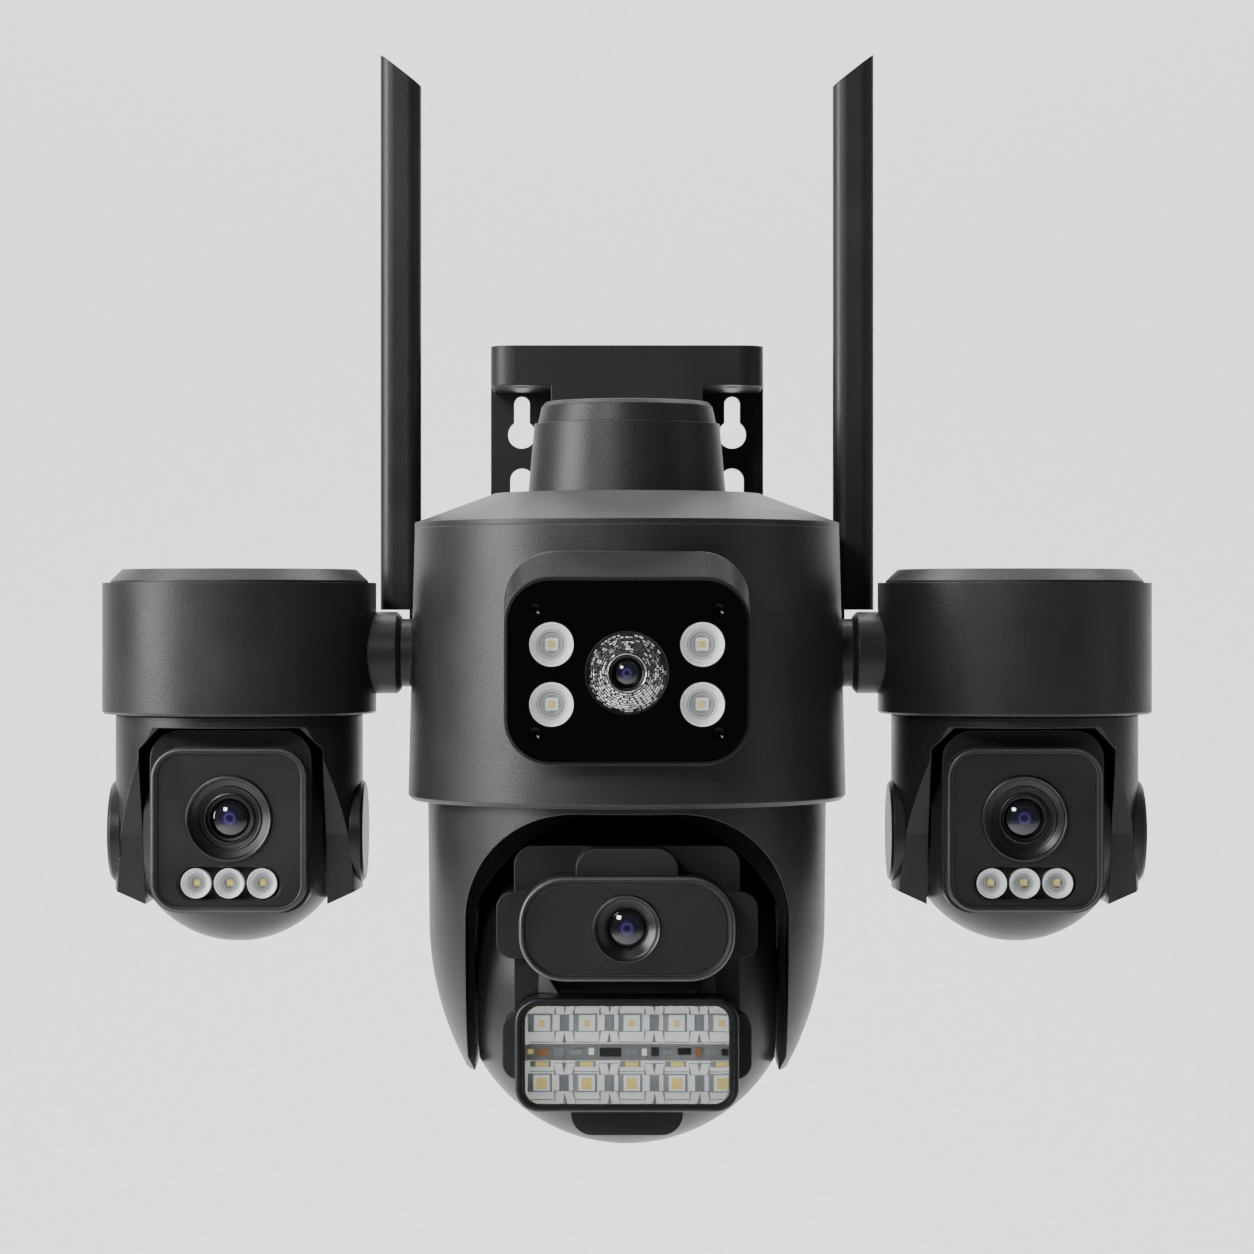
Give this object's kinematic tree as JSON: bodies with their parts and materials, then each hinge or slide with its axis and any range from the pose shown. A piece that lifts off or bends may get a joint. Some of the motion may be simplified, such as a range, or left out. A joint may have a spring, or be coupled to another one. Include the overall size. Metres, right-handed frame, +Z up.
{
  "type": "security camera",
  "caption": "Outdoor pan-tilt camera on a wall bracket: main drum with window, motorised floodlight head below, side camera heads on swivelling arms, flat antennas.",
  "frame": {"origin": "centre of the wall plate's back face", "axes": "+Z up, the camera faces -Y, +Y into the wall"},
  "size_m": [0.2896, 0.1335, 0.3046],
  "materials": {
    "black_plastic": "fine-grain satin",
    "black_gloss": "gloss",
    "bracket_black": "satin powder coat",
    "white_reflector": "bright reflector",
    "clear": "clear",
    "lens_glass": "coated",
    "barrel_black": "matt",
    "circuit": "solder mask",
    "circuit_green": "solder mask",
    "motor_metal": "drawn can",
    "steel": "zinc",
    "gear_nylon": "moulded",
    "rubber": "matt"
  },
  "bodies": {
    "root": {"wall_bracket": "bracket_black", "neck_cup": "black_plastic", "neck_collar": "black_plastic", "neck_bolt": "steel", "roof_cover": "black_plastic", "drum_shell": "black_plastic", "drum_floor": "black_plastic", "pan_motor": "motor_metal", "main_board": "circuit_green", "cable_gland": "rubber", "front_window": "black_gloss", "front_led_cups": "white_reflector", "front_led_board": "circuit", "window_screws": "black_gloss", "fresnel_ring": "clear", "front_lens_barrel": "barrel_black", "front_lens_glass": "lens_glass", "stub_collars": "black_plastic", "antenna_lugs": "black_plastic"},
    "main_yoke": {"main_yoke_shell": "black_plastic", "pan_gear": "gear_nylon"},
    "pan_pinion": {"pan_pinion": "gear_nylon"},
    "main_head": {"main_head_shell": "black_plastic", "tilt_trunnions": "black_plastic", "head_face": "black_plastic", "camera_pod": "black_plastic", "pod_lens_barrel": "barrel_black", "pod_lens_glass": "lens_glass", "tilt_motor": "motor_metal", "flood_frame": "black_gloss", "flood_lens": "clear", "flood_led_board": "circuit"},
    "left_arm": {"left_arm_knuckle": "black_plastic", "left_drum": "black_plastic", "left_drum_lid": "black_plastic", "left_pan_motor": "motor_metal"},
    "left_fork": {"left_yoke": "black_plastic", "left_ear_caps": "black_plastic"},
    "left_head": {"left_head_shell": "black_plastic", "left_face_panel": "black_gloss", "left_lens_barrel": "barrel_black", "left_lens_glass": "lens_glass", "left_led_cups": "white_reflector", "left_led_board": "circuit", "left_tilt_motor": "motor_metal"},
    "left_antenna": {"left_antenna": "black_plastic"},
    "right_arm": {"right_arm_knuckle": "black_plastic", "right_drum": "black_plastic", "right_drum_lid": "black_plastic", "right_pan_motor": "motor_metal"},
    "right_fork": {"right_yoke": "black_plastic", "right_ear_caps": "black_plastic"},
    "right_head": {"right_head_shell": "black_plastic", "right_face_panel": "black_gloss", "right_lens_barrel": "barrel_black", "right_lens_glass": "lens_glass", "right_led_cups": "white_reflector", "right_led_board": "circuit", "right_tilt_motor": "motor_metal"},
    "right_antenna": {"right_antenna": "black_plastic"}
  },
  "joints": [
    {"name": "main_pan", "type": "hinge", "parent": "root", "child": "main_yoke", "pos_m": [0, -0.066, -0.066], "axis": [0, 0, 1], "range_deg": [-177.5, 177.5]},
    {"name": "pan_pinion_spin", "type": "hinge", "parent": "root", "child": "pan_pinion", "pos_m": [0, -0.0404, -0.062], "axis": [0, 0, 1], "range_deg": [-540, 540]},
    {"name": "main_tilt", "type": "hinge", "parent": "main_yoke", "child": "main_head", "pos_m": [0, -0.066, -0.1225], "axis": [1, 0, 0], "range_deg": [0, 90]},
    {"name": "left_arm_swivel", "type": "hinge", "parent": "root", "child": "left_arm", "pos_m": [-0.0623, -0.066, -0.0343], "axis": [1, 0, 0], "range_deg": [-90, 90]},
    {"name": "left_pan", "type": "hinge", "parent": "left_arm", "child": "left_fork", "pos_m": [-0.1071, -0.066, -0.0514], "axis": [0, 0, 1], "range_deg": [-177.5, 177.5]},
    {"name": "left_tilt", "type": "hinge", "parent": "left_fork", "child": "left_head", "pos_m": [-0.1071, -0.066, -0.0835], "axis": [1, 0, 0], "range_deg": [0, 90]},
    {"name": "left_antenna_fold", "type": "hinge", "parent": "root", "child": "left_antenna", "pos_m": [-0.06, -0.039, -0.0305], "axis": [-1, 0, 0], "range_deg": [0, 180]},
    {"name": "right_arm_swivel", "type": "hinge", "parent": "root", "child": "right_arm", "pos_m": [0.0623, -0.066, -0.0343], "axis": [1, 0, 0], "range_deg": [-90, 90]},
    {"name": "right_pan", "type": "hinge", "parent": "right_arm", "child": "right_fork", "pos_m": [0.1071, -0.066, -0.0514], "axis": [0, 0, 1], "range_deg": [-177.5, 177.5]},
    {"name": "right_tilt", "type": "hinge", "parent": "right_fork", "child": "right_head", "pos_m": [0.1071, -0.066, -0.0835], "axis": [1, 0, 0], "range_deg": [0, 90]},
    {"name": "right_antenna_fold", "type": "hinge", "parent": "root", "child": "right_antenna", "pos_m": [0.06, -0.039, -0.0305], "axis": [-1, 0, 0], "range_deg": [0, 180]}
  ],
  "couplings": [
    {"joint": "pan_pinion_spin", "follows": "main_pan", "ratio": -3}
  ]
}
